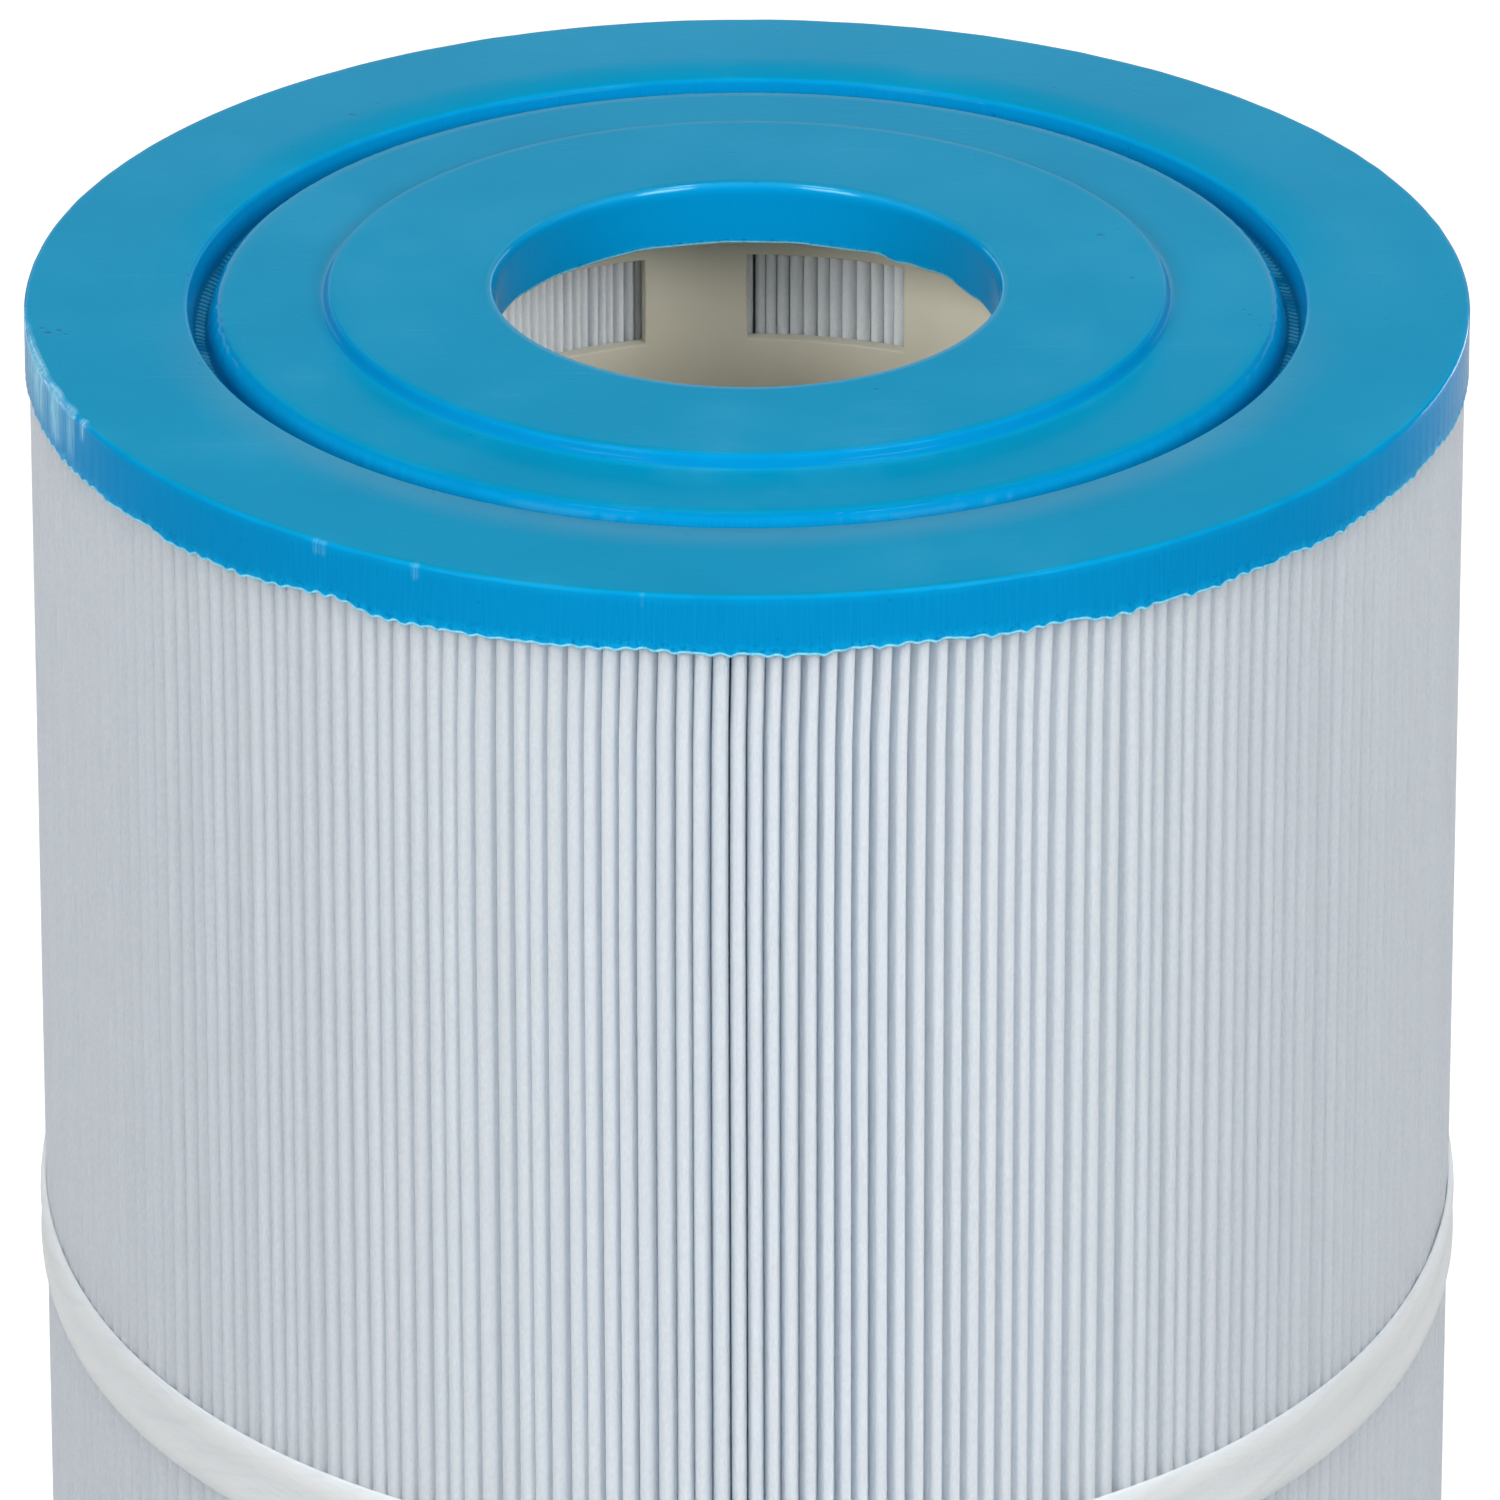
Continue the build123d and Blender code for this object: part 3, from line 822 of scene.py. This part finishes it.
def through(m, colour, share):
    """Lets some of the light pass through the surface, as thin cloth does."""
    tr = m.n("ShaderNodeBsdfTranslucent")
    if isinstance(colour, bpy.types.NodeSocket):
        m.link(colour, tr.inputs["Color"])
    else:
        tr.inputs["Color"].default_value = colour
    mix = m.n("ShaderNodeMixShader")
    mix.inputs[0].default_value = share
    m.link(m.bsdf.outputs[0], mix.inputs[1])
    m.link(tr.outputs[0], mix.inputs[2])
    m.link(mix.outputs[0], m.out.inputs[0])
    return tr, mix


def mat_fabric():
    """Spunbond polyester: short fibres melted together, all directions, with a faint glitter that is partly painted
    into the colour as white glints and partly real gloss.
    """
    m = Mat("spunbond_polyester")
    f = None
    for k, (rot, sc) in enumerate((((0.5, 0.3, 0.2), 2400.0), ((-0.7, 0.2, 1.1), 2100.0), ((0.2, -1.0, 2.0), 2700.0))):
        v = m.mapping(m.coord, (1.0, 1.0, 0.40), rot)
        t = m.noise(v, sc, 1.0, 0.5)
        f = t if f is None else m.math("MAXIMUM", f, t)
    cloud = m.noise(m.coord, 45.0, 3.0, 0.55)
    fine = m.noise(m.coord, 420.0, 2.0, 0.6)
    col = m.mix(m.range(f, 0.50, 0.70), FAB_A, FAB_B)
    col = m.mix(m.math("MULTIPLY", m.range(cloud, 0.35, 0.7), 0.35), col, FAB_C)
    col = m.mix(m.math("MULTIPLY", m.range(fine, 0.52, 0.75), 0.10), col, (1.0, 1.0, 1.0))
    # painted glint: tiny white dots are mixed into the colour as glints, and the roughness is lowered there as well
    glint = m.voronoi(m.coord, 1300.0)
    keep = m.n("ShaderNodeTexWhiteNoise", noise_dimensions="3D")
    m.link(glint.outputs["Position"], keep.inputs[0])
    glint_paint_and_gloss = m.math("MULTIPLY", m.range(glint.outputs["Distance"], 0.12, 0.30, 1, 0), m.math("GREATER_THAN", keep.outputs[0], 0.86))
    col = m.mix(m.math("MULTIPLY", glint_paint_and_gloss, 0.7), col, (1.0, 1.0, 1.0))
    # now and then a fibre of another colour, caught in the sheet
    odd = m.voronoi(m.mapping(m.coord, (1.0, 1.0, 0.3)), 60.0)
    keep2 = m.n("ShaderNodeTexWhiteNoise", noise_dimensions="3D")
    m.link(odd.outputs["Position"], keep2.inputs[0])
    o = m.math("MULTIPLY", m.range(odd.outputs["Distance"], 0.025, 0.05, 1, 0), m.math("GREATER_THAN", keep2.outputs[0], 0.975))
    col = m.mix(m.math("MULTIPLY", o, 0.45), col, (0.22, 0.23, 0.25))
    m.set(m.bsdf, Base_Color=col, Roughness=m.math("SUBTRACT", 0.72, m.math("MULTIPLY", glint_paint_and_gloss, 0.35)))
    m.bsdf.inputs["Specular IOR Level"].default_value = 0.35
    m.bsdf.inputs["Sheen Weight"].default_value = 0.08
    m.bsdf.inputs["Sheen Roughness"].default_value = 0.4
    n1 = m.bump(f, 0.35, 0.00025)
    n2 = m.bump(fine, 0.15, 0.0003, n1)
    m.link(n2, m.bsdf.inputs["Normal"])
    tr, mixer = through(m, col, FAB_THROUGH)
    m.link(n2, tr.inputs["Normal"])
    r = m.cylinder()[0]
    m.link(m.range(r, 0.0665, 0.090, 0.08, FAB_THROUGH), mixer.inputs[0])
    return m.m


def mat_core():
    m = Mat("core_plastic_cream")
    cloud = m.noise(m.coord, 30.0, 3.0, 0.5)
    flow = m.noise(m.mapping(m.coord, (1, 1, 0.2)), 220.0, 3.0, 0.6)
    col = m.mix(cloud, CORE_A, CORE_B)
    col = m.mix(m.math("MULTIPLY", m.range(flow, 0.5, 0.75), 0.15), col, (0.92, 0.88, 0.76))
    speck = m.voronoi(m.coord, 260.0)
    keep = m.n("ShaderNodeTexWhiteNoise", noise_dimensions="3D")
    m.link(speck.outputs["Position"], keep.inputs[0])
    sp = m.math("MULTIPLY", m.range(speck.outputs["Distance"], 0.04, 0.10, 1, 0), m.math("GREATER_THAN", keep.outputs[0], 0.96))
    col = m.mix(m.math("MULTIPLY", sp, 0.5), col, (0.30, 0.26, 0.18))
    m.set(m.bsdf, Base_Color=col, Roughness=m.range(flow, 0.3, 0.7, 0.34, 0.44))
    m.bsdf.inputs["Specular IOR Level"].default_value = 0.4
    fine = m.noise(m.coord, 700.0, 2.0, 0.5)
    m.link(m.bump(fine, 0.10, 0.0002), m.bsdf.inputs["Normal"])
    return m.m


def mat_strap():
    """Thin frosted strap: long soft streaks along it, thicker and paler at its hems."""
    m = Mat("strap_frosted")
    r, a, z, x, y = m.cylinder()
    slant = m.math("ADD", m.math("MULTIPLY", z, 900.0), m.math("MULTIPLY", a, 22.0))
    streak = m.noise(m.combine(m.math("MULTIPLY", a, 9.0), 0.0, slant), 1.0, 3.0, 0.65)
    slant2 = m.math("SUBTRACT", m.math("MULTIPLY", z, 500.0), m.math("MULTIPLY", a, 14.0))
    streak2 = m.noise(m.combine(m.math("MULTIPLY", a, 6.0), 3.0, slant2), 1.0, 3.0, 0.65)
    fine = m.noise(m.coord, 900.0, 3.0, 0.6)
    hem = m.range(r, 0.11335, 0.11385, 0.2, 0.9, "SMOOTHSTEP")
    col = m.mix(hem, STRAP_A, STRAP_B)
    col = m.mix(m.math("MULTIPLY", m.range(streak, 0.45, 0.75), 0.45), col, (0.90, 0.90, 0.885))
    col = m.mix(m.math("MULTIPLY", m.range(streak2, 0.50, 0.80), 0.35), col, (0.66, 0.71, 0.76))
    col = m.mix(m.math("MULTIPLY", m.range(fine, 0.55, 0.75), 0.12), col, (0.95, 0.95, 0.95))
    m.set(m.bsdf, Base_Color=col, Roughness=m.range(streak, 0.3, 0.7, 0.55, 0.66))
    m.bsdf.inputs["Specular IOR Level"].default_value = 0.2
    n1 = m.bump(streak, 0.45, 0.0004)
    n2 = m.bump(fine, 0.30, 0.0003, n1)
    m.link(n2, m.bsdf.inputs["Normal"])
    through(m, col, STRAP_THROUGH)
    return m.m


def mat_seam():
    m = Mat("cured_adhesive")
    cloud = m.noise(m.coord, 220.0, 3.0, 0.6)
    col = m.mix(cloud, (0.62, 0.56, 0.40), (0.72, 0.67, 0.52))
    m.set(m.bsdf, Base_Color=col, Roughness=m.range(cloud, 0.3, 0.7, 0.26, 0.36))
    m.link(m.bump(cloud, 0.2, 0.0005), m.bsdf.inputs["Normal"])
    return m.m


M_CAP = mat_cap("cast_polyurethane_upper", FACE * MM, 1.0)
M_CAP_LOW = mat_cap("cast_polyurethane_lower", RING_H * MM, -1.0)
M_FAB, M_CORE, M_STRAP, M_SEAM = mat_fabric(), mat_core(), mat_strap(), mat_seam()

# ------------------------------------------------------------------ pieces
top_cap, bottom_cap = end_caps()
fabric, sheet_length = pleated_fabric()
pieces = [
    (top_cap, "top_end_cap", "cast_polyurethane", M_CAP),
    (bottom_cap, "bottom_end_cap", "cast_polyurethane", M_CAP_LOW),
    (core_tube(), "core_tube", "core_plastic", M_CORE),
    (fabric, "pleated_media", "filter_fabric", M_FAB),
    (seam_bead(), "side_seam_bead", "seam_adhesive", M_SEAM),
    (strap("upper_strap", "upper_band", 128.0, 31, 12.0), "upper_band", "strap_fabric", M_STRAP),
    (strap("middle_strap", "middle_band", 61.0, 32), "middle_band", "strap_fabric", M_STRAP),
    (strap("lower_strap", "lower_band", 139.0, 33), "lower_band", "strap_fabric", M_STRAP),
]
for ob, node, slot, mat in pieces:
    ob.data.materials.clear()
    ob.data.materials.append(mat)
    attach(ob, "root")
    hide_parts(node)

# ------------------------------------------------------------------ floor, light, camera
WORLD_FRONT, WORLD_BACK = 0.42, 0.05
STRIP_W, KEY_W, CARD_W = 3.0, 38.5, 0.6
BACK_W = 13.0
FLOOR_ALBEDO, FLOOR_GLOW = 0.60, 0.66
bpy.ops.mesh.primitive_plane_add(size=30.0, location=(0, 4.0, 0))
floor = bpy.context.object
floor.name = "studio_floor"
fm = Mat("studio_white")
fm.set(fm.bsdf, Base_Color=(FLOOR_ALBEDO, FLOOR_ALBEDO, FLOOR_ALBEDO, 1), Roughness=0.9)
fm.bsdf.inputs["Emission Color"].default_value = (1, 1, 1, 1)
# the paper reads white, but sends no more light up than pale paper does
fl = fm.n("ShaderNodeLightPath")
fm.link(fm.math("MULTIPLY", fl.outputs["Is Camera Ray"], FLOOR_GLOW), fm.bsdf.inputs["Emission Strength"])
fm.bsdf.inputs["Specular IOR Level"].default_value = 0.0
floor.data.materials.append(fm.m)

sc = bpy.context.scene
sc.view_settings.view_transform = "Standard"
sc.view_settings.look = "None"
sc.view_settings.exposure = 0.0
# light reaches the bottom of the pleats only after many bounces between their white walls
sc.cycles.max_bounces = 16
sc.cycles.diffuse_bounces = 7
sc.cycles.transmission_bounces = 16

# Studio: white all round, darker behind the object so that the caps' faces keep their colour.
world = bpy.data.worlds.new("studio")
sc.world = world
world.use_nodes = True
wt = world.node_tree
bg = wt.nodes["Background"]
wc = wt.nodes.new("ShaderNodeTexCoord")
ws = wt.nodes.new("ShaderNodeSeparateXYZ")
wt.links.new(wc.outputs["Generated"], ws.inputs[0])
wr = wt.nodes.new("ShaderNodeMapRange")
wr.interpolation_type = "SMOOTHSTEP"
for i, v in enumerate((-0.35, 0.55, WORLD_FRONT, WORLD_BACK)):
    wr.inputs[i + 1].default_value = v
wt.links.new(ws.outputs[1], wr.inputs[0])
wl = wt.nodes.new("ShaderNodeLightPath")
wm = wt.nodes.new("ShaderNodeMix")
wm.data_type = "FLOAT"
wt.links.new(wl.outputs["Is Camera Ray"], wm.inputs[0])
wt.links.new(wr.outputs[0], wm.inputs[2])
wm.inputs[3].default_value = 1.0
wt.links.new(wm.outputs[0], bg.inputs[1])
bg.inputs[0].default_value = (1.0, 1.0, 1.0, 1)


def area(name, loc, target, size_x, size_y, power, colour=(1, 1, 1)):
    li = bpy.data.lights.new(name, "AREA")
    li.shape = "RECTANGLE"
    li.size, li.size_y = size_x, size_y
    li.energy = power
    li.color = colour
    ob = bpy.data.objects.new(name, li)
    sc.collection.objects.link(ob)
    ob.location = loc
    ob.visible_camera = False
    d = Vector(target) - Vector(loc)
    ob.rotation_mode = "QUATERNION"
    ob.rotation_quaternion = d.to_track_quat("-Z", "Y")
    return ob


TOP = (0, 0, 0.59)
for side, name in ((-1, "left"), (1, "right")):
    # small bright strips overhead give the streaks on the rounded edges, the large boxes light the sides and the inside
    area("strip_" + name, (side * 0.40, -0.22, 1.80), TOP, 0.30, 0.07, STRIP_W)
    area("key_" + name, (side * 1.45, -1.75, 1.75), (0, 0, 0.50), 1.0, 1.1, KEY_W)
    # lower boxes behind, under the level of the upper face, so that the back isn't left in the dark
    area("back_" + name, (side * 1.35, 1.45, 0.30), (0, 0, 0.30), 0.9, 0.48, BACK_W)
# a low card behind the object, which pales the far part of the upper face
area("card_behind", (0, 0.52, 0.675), TOP, 1.2, 0.14, CARD_W)

cam_data = bpy.data.cameras.new("camera")
cam = bpy.data.objects.new("camera", cam_data)
sc.collection.objects.link(cam)
sc.camera = cam
cam_data.sensor_width = 36.0
cam_data.lens = 15968 / 1500 * 36.0
cam_data.clip_start, cam_data.clip_end = 0.1, 100
CAM_D, CAM_UP, CAM_PITCH = 2.300, 1.002, math.radians(25.17)
cam.location = (0.00047, -CAM_D, FACE * MM + CAM_UP)
cam.rotation_euler = (math.pi / 2 - CAM_PITCH, 0, 0)
